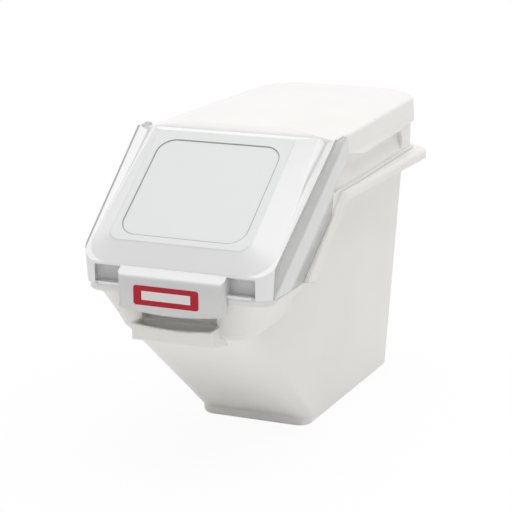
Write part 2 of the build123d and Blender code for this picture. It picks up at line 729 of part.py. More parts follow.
def make_front_lid():
    """Clear hood with its raised panel, hinge ears, front recess and handle."""
    foot = [
        (LID_FRONT, LID_FOOT),
        (RIM_SLOPE_FOOT, LID_FOOT),
        (LID_REAR, rim_height(LID_REAR) + SEAT_GAP),
    ]
    open_foot = [
        (LID_FRONT + LID_WALL, LID_FOOT - BEYOND),
        (LID_REAR + BEYOND, LID_FOOT - BEYOND),
    ]
    recess_height = LID_FRONT_HEIGHT - LID_LIP_BAR - LID_FOOT - LID_FOOT_BAR
    recess_floor = LID_FRONT + LID_RECESS_DEPTH
    block_height = LID_FRONT_HEIGHT - LID_FOOT
    window_length = LID_PANEL_LENGTH - PLATEAU_FRONT_MARGIN - PLATEAU_SET_BACK
    window_length -= WINDOW_REAR_MARGIN + WINDOW_FRONT_MARGIN
    window_middle = PLATEAU_SET_BACK + WINDOW_REAR_MARGIN + window_length / 2
    with BuildPart() as hollow:
        add(lid_hood(LID_WALL, open_foot, LID_REAR + BEYOND))
        add(lid_valley(LID_WALL), mode=Mode.SUBTRACT)
    with BuildPart() as lid:
        add(lid_hood(0, foot, LID_REAR))
        add(lid_valley(0), mode=Mode.SUBTRACT)
        add(lid_plateau(0))
        add(hollow.part, mode=Mode.SUBTRACT)
        add(lid_plateau(LID_WALL), mode=Mode.SUBTRACT)
        with Locations((0, LID_FRONT + LID_RECESS_EDGE, LID_FOOT)):
            Box(
                LID_RECESS_WIDTH + 2 * LID_WALL,
                LID_RECESS_DEPTH + LID_WALL - LID_RECESS_EDGE,
                block_height,
                align=(Align.CENTER, Align.MIN, Align.MIN),
            )
        with BuildSketch(Plane.XY.offset(LID_FOOT + LID_FOOT_BAR)):
            with Locations((0, recess_floor - LID_RECESS_DEPTH)):
                RectangleRounded(LID_RECESS_WIDTH, 2 * LID_RECESS_DEPTH, LID_RECESS_CORNER)
        extrude(amount=recess_height, mode=Mode.SUBTRACT)
        add(lid_handle())
        add(
            side_prism(
                handle_profile(
                    HANDLE_WALL,
                    HANDLE_BOTTOM - BEYOND,
                    recess_floor,
                    LID_FOOT + LID_FOOT_BAR,
                ),
                HANDLE_WIDTH / 2 - HANDLE_WALL,
            ),
            mode=Mode.SUBTRACT,
        )
        add(hinge_ears())
        stud_root = lid_half_width(HINGE_Z) - LID_WALL / 2
        stud_tip = socket_face() - SOCKET_LENGTH + SOCKET_END_WALL + STUD_END_GAP
        for side in (-1, 1):
            with BuildSketch(Plane.YZ.offset(side * stud_tip)):
                with Locations((HINGE_Y, HINGE_Z)):
                    Circle(STUD_RADIUS)
            extrude(amount=side * (stud_root - stud_tip))
        with BuildSketch(LID_PANEL_PLANE.offset(PLATEAU_RISE - WINDOW_STEP)):
            with Locations((0, -window_middle)):
                RectangleRounded(WINDOW_WIDTH, window_length, WINDOW_CORNER_RADIUS)
        extrude(amount=2 * WINDOW_STEP, mode=Mode.SUBTRACT)
        with BuildSketch(Plane.XZ.offset(-FRONT)):
            with Locations((LABEL_CENTRE_X, LABEL_CENTRE_HEIGHT)):
                RectangleRounded(LABEL_WIDTH, LABEL_HEIGHT, LABEL_CORNER_RADIUS)
        extrude(amount=-LABEL_THICKNESS - LABEL_BACKSET, mode=Mode.SUBTRACT)
    return lid.part


def cover_plan(height, inset, front):
    """Plan of the cover at a height, inset inside the band, on a sketch of its own."""
    flare = COVER_REAR_FLARE * (max(height, COVER_BAND_BOTTOM) - COVER_BAND_BOTTOM)
    front_half = COVER_FRONT_WIDTH / 2 - inset
    rear_half = COVER_REAR_WIDTH / 2 - flare - inset
    taper_start = COVER_FRONT + COVER_STRAIGHT
    rear = REAR - COVER_REAR_SET_BACK - COVER_REAR_BOW - flare - inset
    with BuildSketch(Plane.XY.offset(height)) as plan:
        with BuildLine():
            Polyline(
                (-rear_half, rear),
                (-front_half, taper_start),
                (-front_half, front),
                (front_half, front),
                (front_half, taper_start),
                (rear_half, rear),
            )
            ThreePointArc((rear_half, rear), (0, rear + COVER_REAR_BOW), (-rear_half, rear))
        make_face()
        fillet(vertices().sort_by(Axis.Y)[-2:], COVER_CORNER_RADIUS - inset)
    return plan.sketch


def cover_block(bottom, top, inset, front):
    """Drafted block of the cover between two heights, inset inside its outer faces."""
    with BuildPart() as block:
        add(cover_plan(bottom, inset, front))
        add(cover_plan(top, inset, front))
        loft(ruled=True)
    return block.part


def cover_side_view(inset, bottom_drop):
    """Side outline of the cover: level top, rounded front edge, and a foot on the rim."""
    front = COVER_FRONT + inset
    top = OVERALL_HEIGHT - inset
    with BuildPart() as view:
        with BuildSketch(Plane.YZ):
            with BuildLine():
                Polyline(
                    (front, rim_height(COVER_FRONT) + SEAT_GAP - bottom_drop),
                    (front, top),
                    (REAR + BEYOND, top),
                    (REAR + BEYOND, COVER_BOTTOM - bottom_drop),
                    (RIM_SLOPE_TOP, COVER_BOTTOM - bottom_drop),
                    close=True,
                )
            make_face()
            front_top = vertices().group_by(Axis.X)[0].sort_by(Axis.Y)[-1]
            fillet(front_top, COVER_FRONT_ROUND - inset)
        extrude(amount=WIDE, both=True)
    return view.part


def grip_inset(share):
    """How far the wall of a grip lies inside the band, from its foot, 0, to its top, 1."""
    return GRIP_FOOT_INSET + (GRIP_DEPTH - GRIP_FOOT_INSET) * math.sqrt(1 - (1 - share) ** 2)


def grip_walls(grow):
    """Block with the hollow walls of the grips all round it, smaller all round by grow."""
    front = COVER_FRONT - BEYOND
    foot = COVER_BOTTOM + GRIP_FOOT_HEIGHT
    with BuildPart() as walls:
        add(cover_plan(RIM_FRONT_HEIGHT, grip_inset(0) + grow, front))
        for step in range(GRIP_STEPS + 1):
            share = (step / GRIP_STEPS) ** 2
            height = foot + share * (GRIP_TOP - foot)
            add(cover_plan(height, grip_inset(share) + grow, front))
        add(cover_plan(OVERALL_HEIGHT, GRIP_DEPTH + grow, front))
        loft(ruled=True)
    return walls.part


def grip_cutter(grow):
    """Both hand grips as a cutter, larger all round by grow."""
    bottom = COVER_BOTTOM + GRIP_FOOT_HEIGHT - grow
    top = GRIP_TOP + grow
    rise_start = COVER_FRONT + GRIP_RISE_START
    with BuildPart() as cutter:
        with BuildSketch(Plane.YZ):
            with BuildLine():
                Polyline(
                    (GRIP_FRONT - grow, bottom),
                    (GRIP_REAR + grow, bottom),
                    (GRIP_REAR + grow, top),
                    (rise_start + GRIP_RISE_LENGTH, top),
                    (rise_start, top + GRIP_FRONT_RISE),
                    (GRIP_FRONT - grow, top + GRIP_FRONT_RISE),
                    close=True,
                )
            make_face()
            fillet(vertices().group_by(Axis.X)[-1], GRIP_END_RADIUS + grow)
            fillet(vertices().group_by(Axis.X)[1:3], GRIP_RISE_RADIUS)
        extrude(amount=WIDE, both=True)
        add(grip_walls(grow), mode=Mode.SUBTRACT)
    return cutter.part


def cover_side_half_width(y):
    """Outer half width of the band of the cover at a place along the bin."""
    rear = REAR - COVER_REAR_SET_BACK - COVER_REAR_BOW
    share = (y - COVER_FRONT - COVER_STRAIGHT) / (rear - COVER_FRONT - COVER_STRAIGHT)
    return COVER_FRONT_WIDTH / 2 - share * (COVER_FRONT_WIDTH - COVER_REAR_WIDTH) / 2


def lip_plan(height, reach):
    """Plan of the grip lips at a height, whose reach fades to nothing at the rear of the grip."""
    straight_end = COVER_FRONT + COVER_STRAIGHT
    end = GRIP_REAR - GRIP_LIP_SHORTFALL
    wide = COVER_FRONT_WIDTH / 2 + reach
    narrow = cover_side_half_width(end)
    with BuildSketch(Plane.XY.offset(height)) as plan:
        Polygon(
            (-wide, COVER_FRONT + GRIP_RISE_START),
            (wide, COVER_FRONT + GRIP_RISE_START),
            (wide, straight_end),
            (narrow, end),
            (-narrow, end),
            (-wide, straight_end),
            align=None,
        )
    return plan.sketch


def grip_lips():
    """Flared lips along the upper edges of both grips."""
    with BuildPart() as lips:
        add(lip_plan(GRIP_TOP, GRIP_LIP_REACH))
        add(lip_plan(GRIP_TOP + GRIP_LIP_HEIGHT, 0))
        loft(ruled=True)
    return lips.part


def cover_crown(drop):
    """Space under the crowned top: level in the middle, falling to both sides."""
    half_crown = COVER_CROWN_WIDTH / 2
    half_wide = COVER_FRONT_WIDTH / 2
    top = OVERALL_HEIGHT - drop
    bottom = RIM_FRONT_HEIGHT
    with BuildPart() as crown:
        with BuildSketch(Plane.XZ):
            with BuildLine():
                Polyline(
                    (-half_wide, bottom),
                    (half_wide, bottom),
                    (half_wide, top - COVER_CROWN_FALL),
                    (half_crown, top),
                    (-half_crown, top),
                    (-half_wide, top - COVER_CROWN_FALL),
                    close=True,
                )
            make_face()
        extrude(amount=LONG, both=True)
    return crown.part


def cover_band():
    """Band round the top of the cover, with its crowned roof and rounded upper edges."""
    with BuildPart() as band:
        add(cover_block(COVER_BAND_BOTTOM, OVERALL_HEIGHT, 0, COVER_FRONT - BEYOND))
        add(cover_crown(0), mode=Mode.INTERSECT)
        roof = band.faces().filter_by(lambda f: f.normal_at().Z > 0.9)
        walls = band.faces().filter_by(lambda f: f.normal_at().Y > -0.9)
        walls = walls.filter_by(lambda f: abs(f.normal_at().Z) < 0.1)
        fillet([edge for edge in roof.edges() if edge in walls.edges()], COVER_EDGE_RADIUS)
    return band.part


def make_rear_cover():
    """Cover over the rear of the bin, with hand grips, an open mouth and hinge sockets."""
    low = RIM_FRONT_HEIGHT
    undercut_foot = COVER_BAND_BOTTOM - COVER_BAND_UNDERCUT
    foot_top = COVER_BOTTOM + GRIP_FOOT_HEIGHT
    band_hollow_foot = COVER_BAND_BOTTOM + COVER_WALL
    inner_front = COVER_FRONT + COVER_WALL
    with BuildPart() as undercut:
        add(cover_plan(undercut_foot, COVER_BODY_INSET, COVER_FRONT))
        add(cover_plan(COVER_BAND_BOTTOM, 0, COVER_FRONT))
        loft(ruled=True)
    with BuildPart() as hollow:
        add(cover_block(low, OVERALL_HEIGHT, COVER_BODY_INSET + COVER_WALL, inner_front))
        add(cover_block(band_hollow_foot, OVERALL_HEIGHT, COVER_WALL, inner_front))
        add(cover_crown(COVER_WALL), mode=Mode.INTERSECT)
        add(cover_side_view(COVER_WALL, BEYOND), mode=Mode.INTERSECT)
        add(grip_cutter(COVER_WALL), mode=Mode.SUBTRACT)
    with BuildPart() as cover:
        add(cover_block(low, undercut_foot, COVER_BODY_INSET, COVER_FRONT))
        add(undercut.part)
        add(cover_band())
        add(cover_block(low, foot_top, GRIP_FOOT_INSET, COVER_FRONT))
        add(grip_lips())
        add(cover_side_view(0, 0), mode=Mode.INTERSECT)
        add(grip_cutter(0), mode=Mode.SUBTRACT)
        add(hollow.part, mode=Mode.SUBTRACT)
        with BuildSketch(Plane.XZ.offset(-COVER_FRONT - COVER_FRONT_ROUND)):
            with Locations((0, low)):
                Rectangle(
                    COVER_MOUTH_WIDTH,
                    COVER_MOUTH_TOP - low,
                    align=(Align.CENTER, Align.MIN),
                )
            fillet(vertices().sort_by(Axis.Y)[-2:], COVER_MOUTH_RADIUS)
        extrude(amount=2 * COVER_FRONT_ROUND, mode=Mode.SUBTRACT)
        for side in (-1, 1):
            with BuildSketch(Plane.YZ.offset(side * socket_face())):
                with Locations((HINGE_Y, HINGE_Z)):
                    Circle(SOCKET_RADIUS)
            extrude(amount=-side * SOCKET_LENGTH)
            with BuildSketch(Plane.YZ.offset(side * socket_face())):
                with Locations((HINGE_Y, HINGE_Z)):
                    Circle(STUD_RADIUS + STUD_CLEARANCE)
            extrude(amount=-side * (SOCKET_LENGTH - SOCKET_END_WALL), mode=Mode.SUBTRACT)
    return cover.part


def make_label_plate():
    """Plain plate that lies in its seat on the front of the handle."""
    with BuildPart() as plate:
        with BuildSketch(Plane.XZ.offset(-FRONT - LABEL_THICKNESS - LABEL_BACKSET)):
            with Locations((LABEL_CENTRE_X, LABEL_CENTRE_HEIGHT)):
                RectangleRounded(
                    LABEL_WIDTH - 2 * LABEL_BACKSET,
                    LABEL_HEIGHT - 2 * LABEL_BACKSET,
                    LABEL_CORNER_RADIUS,
                )
        extrude(amount=LABEL_THICKNESS)
    return plate.part


def scoop_bowl(inset, end):
    """Trough of the scoop, open toward the middle of the bin, inset inside its outer faces."""
    back = -tub_half_width(0) + SCOOP_WALL_GAP
    half = SCOOP_WIDTH / 2 - inset
    with BuildPart() as bowl:
        with BuildSketch(Plane.XY.offset(end)):
            with BuildLine():
                Polyline(
                    (back + inset, SCOOP_Y - half),
                    (back + inset, SCOOP_Y + half),
                    (back + SCOOP_DEPTH + inset, SCOOP_Y + half),
                    (back + SCOOP_DEPTH + inset, SCOOP_Y - half),
                    close=True,
                )
            make_face()
            fillet(vertices().sort_by(Axis.X)[:2], SCOOP_BOWL_RADIUS - inset)
        extrude(amount=SCOOP_BOWL_TOP - inset - end)
    return bowl.part


def make_scoop():
    """Scoop with a straight handle whose end hooks over the edge of the tub."""
    back = -tub_half_width(0) + SCOOP_WALL_GAP
    bowl_end = SCOOP_BOWL_TOP - SCOOP_LENGTH
    edge_top = RIM_REAR_HEIGHT + UPSTAND
    hook_foot = edge_top - SCOOP_HOOK_DROP
    seat = edge_top + SEAT_GAP
    hook_inner = -tub_half_width(edge_top) - SCOOP_HOOK_SIDE_GAP
    hook_outer = hook_inner - SCOOP_HOOK_WALL
    hook_top = seat + SCOOP_HOOK_WALL
    handle_face = -tub_half_width(hook_foot) + TUB_WALL + SCOOP_HOOK_SIDE_GAP
    handle_foot = -tub_half_width(SCOOP_BOWL_TOP) + TUB_WALL + SCOOP_WALL_GAP
    neck = SCOOP_BOWL_TOP + SCOOP_HANDLE_THICKNESS
    root = SCOOP_BOWL_TOP - SCOOP_WALL / 2
    reach = SCOOP_DEPTH + BEYOND
    hook = [
        (hook_outer, hook_foot),
        (hook_outer, hook_top),
        (handle_face + SCOOP_HANDLE_THICKNESS, hook_top),
        (handle_foot + SCOOP_HANDLE_THICKNESS, neck),
        (back + SCOOP_HANDLE_THICKNESS, root),
        (back + SCOOP_WALL, root),
        (handle_foot, neck),
        (handle_face, hook_foot),
        (handle_face, seat),
        (hook_inner, seat),
        (hook_inner, hook_foot),
    ]
    with BuildPart() as scoop:
        add(scoop_bowl(0, bowl_end))
        add(scoop_bowl(SCOOP_WALL, bowl_end - BEYOND), mode=Mode.SUBTRACT)
        with BuildSketch(Plane.XZ):
            with BuildLine():
                Polyline(
                    (back, bowl_end),
                    (back + reach, bowl_end + SCOOP_MOUTH_CUT * reach / SCOOP_DEPTH),
                    (back + reach, bowl_end - BEYOND),
                    (back, bowl_end - BEYOND),
                    close=True,
                )
            make_face()
        extrude(amount=WIDE, both=True, mode=Mode.SUBTRACT)
        with BuildSketch(Plane.XZ.offset(-SCOOP_Y - SCOOP_HANDLE_WIDTH / 2)):
            with BuildLine():
                Polyline(*hook, close=True)
            make_face()
        extrude(amount=SCOOP_HANDLE_WIDTH)
    return scoop.part


PIECES = {
    "bin_body": make_bin_body(),
    "rear_cover": make_rear_cover(),
    "front_lid": make_front_lid(),
    "label_plate": make_label_plate(),
    "scoop": make_scoop(),
}

os.makedirs("parts", exist_ok=True)
for name, piece in PIECES.items():
    piece.label = name
    export_step(piece, f"parts/{name}.step")
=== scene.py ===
import math

import bpy
from mathutils import Matrix, Vector


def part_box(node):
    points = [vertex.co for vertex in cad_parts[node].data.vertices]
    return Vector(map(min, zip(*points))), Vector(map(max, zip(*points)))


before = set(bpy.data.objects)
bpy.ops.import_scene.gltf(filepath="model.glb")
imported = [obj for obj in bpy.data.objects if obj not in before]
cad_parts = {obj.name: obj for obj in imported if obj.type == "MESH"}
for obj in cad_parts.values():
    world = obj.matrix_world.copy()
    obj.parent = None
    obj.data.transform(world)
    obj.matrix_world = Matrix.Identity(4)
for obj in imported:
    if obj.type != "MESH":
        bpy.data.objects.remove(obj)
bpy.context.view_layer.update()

# Camera at the photograph's place, in metres and degrees
CAMERA_PLACE = Vector((1.0273, -2.3411, 0.8901))
CAMERA_AZIMUTH = math.radians(23.942)
CAMERA_ELEVATION = math.radians(14.485)
CAMERA_ROLL = math.radians(-0.361)
CAMERA_LENS = 132.15
CAMERA_SENSOR = 36.0

# Colours, as linear light
BIN_WHITE = (0.88, 0.865, 0.835)
COVER_WHITE = (0.90, 0.89, 0.865)
LID_CLEAR = (0.93, 0.935, 0.93)
LABEL_RED = (0.52, 0.006, 0.028)
LABEL_PAPER = (0.83, 0.82, 0.80)
SCOOP_TINT = (0.80, 0.82, 0.83)
FLOOR_WHITE = (0.95, 0.95, 0.945)

# Noise lies round 0.5: these parts of it are spread over the whole range
NOISE_MIDDLE = (0.35, 0.65)
NOISE_BROAD = (0.3, 0.7)

# Opaque plastic of the bin and cover, sizes in metres
BIN_ROUGHNESS = 0.36
COVER_ROUGHNESS = 0.34
RUBBED_SMOOTHER = 0.05
RUBBED_ROUGHER = 0.07
COAT_SHARE = 0.04
COAT_ROUGHNESS = 0.3
TONE_PATCH = 0.12
TONE_SHARE = 0.975
RUB_SIZE = 0.03
RUB_STRETCH = (1, 0.25, 1)
GRAIN_SIZE = 0.0009
GRAIN_DEPTH = 0.00003
EASED_EDGE = 0.0012

# Clear plastic of the lid and scoop, sizes in metres
PLASTIC_IOR = 1.49
SCOOP_HAZE = 0.9
SCOOP_ROUGHNESS = 0.38
SCOOP_RUBS = 0.1
LID_RUBS = 0.08
CLEAR_TONE_PATCH = 0.09
CLEAR_TONE_SHARE = 0.985
CLEAR_RUB_SIZE = 0.02
CLEAR_RUB_STRETCH = (1, 0.3, 1)
FLOW_WAVE_SIZE = 0.035
FLOW_WAVE_DEPTH = 0.0002

# Parts of the lid: milky share, roughness, tints, and the greys and hazes of its painted shade and
# light
BEVEL_HAZE = 0.98
TOP_HAZE = 0.9
# Less haze on the handle's upright faces: painted shade that makes its front darker than its top
HANDLE_SHADE_HAZE = 0.7
# Lower haze in the front recesses beside the handle: painted shade that darkens them
RECESS_SHADE_HAZE = 0.6
SIDE_HAZE = 0.42
# Milkier, lighter band on the side walls: painted light standing in for the flange seen through them
PAINTED_FLANGE_BAND_HAZE = 0.8
PANEL_ROUGHNESS = 0.38
SIDE_ROUGHNESS = 0.06
TOP_TINT = (0.875, 0.885, 0.885)
# Grey of the painted dark lines: refraction at the lid's outer edges and shade of the window's step
PAINTED_DARK_LINE_GREY = (0.42, 0.42, 0.41)
# Grey of the painted shade in the valleys by the lid's outer edges
VALLEY_SHADE_GREY = (0.6, 0.6, 0.59)

# Places on the lid, metres: its panel slopes down from PANEL_REAR, its sides lean out
PANEL_REAR = Vector((0, -0.0925, 0.4225))
PANEL_ANGLE = math.radians(36.37)
PANEL_TOP_RISE = 0.0178
PANEL_HALF_WIDTH = 0.146
SIDE_FLARE = 0.0695
SIDE_WALLS_START = 0.1
# EDGE_LINE is the width of the painted dark line along the lid's outer edges
EDGE_LINE = 0.0028
VALLEY_MIDDLE = 0.0155
VALLEY_LINE = 0.003
FRONT_WALL = -0.2855
RECESS_DEPTH = 0.013
RECESS_HALF_WIDTH = 0.113
RECESS_TOP = 0.277
VALLEY_FLOOR = -0.0178
UPRIGHT_LIMIT = 0.5
SIDEWAYS_START = 0.88
SIDEWAYS_FULL = 0.96

# The window in the panel, measured down the panel, metres
WINDOW_MIDDLE = 0.1213
WINDOW_HALF_LENGTH = 0.0833
WINDOW_HALF_WIDTH = 0.088
WINDOW_CORNER = 0.024
# WINDOW_LINE is the width of the painted shade line round the window
WINDOW_LINE = 0.0008

# Band of the side walls painted milkier and lighter, standing in for the flange seen through them,
# measured up from the sloping foot
SIDE_FOOT = Vector((0, -0.0575, 0.345))
SIDE_FOOT_ANGLE = math.radians(38.14)
SIDE_BAND_START = 0.029
SIDE_BAND_END = 0.055
SIDE_BAND_FADE = 0.008

# Write-on label, metres
LABEL_STRIP_SIDE = 0.0115
LABEL_STRIP_EDGE = 0.007
LABEL_SPECULAR = 0.3
FIBRE_SIZE = 0.0012
PAPER_SHARE = 0.96
INK_SHARE = 0.88
PRINT_PATCH = 0.006
PRINT_ROUGHNESS = (0.28, 0.42)
PRINT_GRAIN_SIZE = 0.0008
PRINT_GRAIN_DEPTH = 0.00002

# Stage
FLOOR_HALF = 6.0
FLOOR_NEAR = 0.8
FLOOR_FAR = 1.4
FLOOR_CAMERA_SHARE = 0.93
WORLD_LIGHT = 0.46
SUN_STRENGTH = 1.8
SUN_SPREAD = math.radians(70)
SUN_PLACE = Vector((0.3, 0.4, 3.0))


class Nodes:
    """Short calls for adding and joining the nodes of one material."""

    def __init__(self, name):
        self.material = bpy.data.materials.new(name)
        self.material.use_nodes = True
        self.tree = self.material.node_tree
        self.tree.nodes.clear()
        self.output = self.add("ShaderNodeOutputMaterial")

    def add(self, kind, **settings):
        """Adds a node of a kind, with its settings."""
        node = self.tree.nodes.new(kind)
        for key, value in settings.items():
            setattr(node, key, value)
        return node

    def join(self, source, target):
        """Links one socket to another."""
        self.tree.links.new(source, target)

    def place(self, scale=(1, 1, 1)):
        """Object-space place, stretched by scale."""
        coordinates = self.add("ShaderNodeTexCoord")
        mapping = self.add("ShaderNodeMapping")
        mapping.inputs["Scale"].default_value = scale
        self.join(coordinates.outputs["Object"], mapping.inputs["Vector"])
        return mapping.outputs["Vector"]

    def noise(self, size, detail=4.0, stretch=(1, 1, 1)):
        """Noise whose features are about size metres wide."""
        texture = self.add("ShaderNodeTexNoise")
        texture.inputs["Scale"].default_value = 1 / size
        texture.inputs["Detail"].default_value = detail
        self.join(self.place(stretch), texture.inputs["Vector"])
        return texture.outputs["Fac"]

    def ranged(self, value, low, high, new_low, new_high):
        """value moved from one range to another, and clamped."""
        remap = self.add("ShaderNodeMapRange")
        remap.inputs["From Min"].default_value = low
        remap.inputs["From Max"].default_value = high
        remap.inputs["To Min"].default_value = new_low
        remap.inputs["To Max"].default_value = new_high
        self.join(value, remap.inputs["Value"])
        return remap.outputs["Result"]

    def math(self, operation, *values):
        """Result of an operation on numbers or sockets."""
        node = self.add("ShaderNodeMath", operation=operation)
        for socket, value in zip(node.inputs, values):
            if isinstance(value, (int, float)):
                socket.default_value = value
            else:
                self.join(value, socket)
        return node.outputs["Value"]

    def dot(self, vector, direction):
        """How far a vector reaches along a direction."""
        node = self.add("ShaderNodeVectorMath", operation="DOT_PRODUCT")
        node.inputs[1].default_value = direction
        self.join(vector, node.inputs[0])
        return node.outputs["Value"]

    def blend(self, share, first, second):
        """Number between two, each a number or a socket."""
        mix = self.add("ShaderNodeMix", data_type="FLOAT")
        self.join(share, mix.inputs["Factor"])
        for key, value in (("A", first), ("B", second)):
            socket = [s for s in mix.inputs if s.name == key and s.type == "VALUE"][0]
            if isinstance(value, float):
                socket.default_value = value
            else:
                self.join(value, socket)
        return [s for s in mix.outputs if s.type == "VALUE"][0]

    def mixed(self, share, first, second):
        """Colour between two, each a colour or a socket."""
        mix = self.add("ShaderNodeMix", data_type="RGBA")
        self.join(share, mix.inputs["Factor"])
        for key, value in (("A", first), ("B", second)):
            socket = [s for s in mix.inputs if s.name == key and s.type == "RGBA"][0]
            if isinstance(value, tuple):
                socket.default_value = (*value, 1)
            else:
                self.join(value, socket)
        return [s for s in mix.outputs if s.type == "RGBA"][0]

    def bump(self, height, distance, normal=None):
        """Normals of a surface whose height varies by distance, on top of those given."""
        node = self.add("ShaderNodeBump")
        node.inputs["Strength"].default_value = 1.0
        node.inputs["Distance"].default_value = distance
        self.join(height, node.inputs["Height"])
        if normal is not None:
            self.join(normal, node.inputs["Normal"])
        return node.outputs["Normal"]

    def mottled(self, colour, patch, share):
        """Colour that goes slowly over to a darker share of itself and back, in patches."""
        tone = self.ranged(self.noise(patch), *NOISE_MIDDLE, 0, 1)
        return self.mixed(tone, darker(colour, share), colour)

    def flow_waves(self):
        """Normals of the faint waves that clear plastic keeps from the mould."""
        return self.bump(self.noise(FLOW_WAVE_SIZE, detail=1.0), FLOW_WAVE_DEPTH)

    def eased_edges(self, radius):
        """Normals that round the sharp edges of a moulding."""
        node = self.add("ShaderNodeBevel", samples=6)
        node.inputs["Radius"].default_value = radius
        return node.outputs["Normal"]

    def principled(self, **values):
        """Main shader with constant values, whose names have _ for a space."""
        shader = self.add("ShaderNodeBsdfPrincipled")
        for key, value in values.items():
            shader.inputs[key.replace("_", " ")].default_value = value
        return shader


def darker(colour, share):
    """Colour at a share of its brightness."""
    return tuple(c * share for c in colour)


def moulded_plastic(name, colour, roughness):
    """Opaque moulded plastic: a fine surface grain, slow tone changes and rubbed patches."""
    n = Nodes(name)
    shader = n.principled(Coat_Weight=COAT_SHARE, Coat_Roughness=COAT_ROUGHNESS)
    n.join(n.mottled(colour, TONE_PATCH, TONE_SHARE), shader.inputs["Base Color"])
    limits = (roughness - RUBBED_SMOOTHER, roughness + RUBBED_ROUGHER)
    rubs = n.ranged(n.noise(RUB_SIZE, stretch=RUB_STRETCH), *NOISE_BROAD, *limits)
    n.join(rubs, shader.inputs["Roughness"])
    normal = n.bump(n.noise(GRAIN_SIZE, detail=2.0), GRAIN_DEPTH, n.eased_edges(EASED_EDGE))
    n.join(normal, shader.inputs["Normal"])
    n.join(shader.outputs["BSDF"], n.output.inputs["Surface"])
    return n.material


def clear_plastic(name, colour, haze, roughness):
    """Clear moulded plastic with a slight milky haze and flow waves in its surface."""
    n = Nodes(name)
    shader = n.principled(IOR=PLASTIC_IOR, Transmission_Weight=1 - haze)
    n.join(n.mottled(colour, CLEAR_TONE_PATCH, CLEAR_TONE_SHARE), shader.inputs["Base Color"])
    limits = (roughness * (1 - SCOOP_RUBS), roughness * (1 + SCOOP_RUBS))
    rubs = n.ranged(n.noise(CLEAR_RUB_SIZE, stretch=CLEAR_RUB_STRETCH), *NOISE_BROAD, *limits)
    n.join(rubs, shader.inputs["Roughness"])
    n.join(n.flow_waves(), shader.inputs["Normal"])
    n.join(shader.outputs["BSDF"], n.output.inputs["Surface"])
    return n.material


def box_mask(n, axis_values, lows, highs):
    """1 where every value lies between its low and its high limit, and 0 elsewhere."""
    mask = None
    for value, low, high in zip(axis_values, lows, highs):
        above = n.math("GREATER_THAN", value, low)
        inside = n.math("MULTIPLY", above, n.math("LESS_THAN", value, high))
        mask = inside if mask is None else n.math("MULTIPLY", mask, inside)
    return mask


def height_above(n, place, start, angle):
    """How far a place lies above a slope through start, square to the slope."""
    outward = Vector((0, -math.sin(angle), math.cos(angle)))
    return n.math("SUBTRACT", n.dot(place, outward), start.dot(outward))


def window_shade_line(n, place):
    """1 on a thin line round the window of the lid's panel, and 0 elsewhere: the mask of the painted
    shade along the window's step.
    """
    down = Vector((0, -math.cos(PANEL_ANGLE), -math.sin(PANEL_ANGLE)))
    along = n.math("SUBTRACT", n.dot(place, down), PANEL_REAR.dot(down) + WINDOW_MIDDLE)
    across = n.dot(place, Vector((1, 0, 0)))
    squares = []
    for value, half in ((along, WINDOW_HALF_LENGTH), (across, WINDOW_HALF_WIDTH)):
        past = n.math("SUBTRACT", n.math("ABSOLUTE", value), half - WINDOW_CORNER)
        squares.append(n.math("POWER", n.math("MAXIMUM", past, 0), 2))
    reach = n.math("SQRT", n.math("ADD", *squares))
    return n.math("COMPARE", reach, WINDOW_CORNER, WINDOW_LINE)


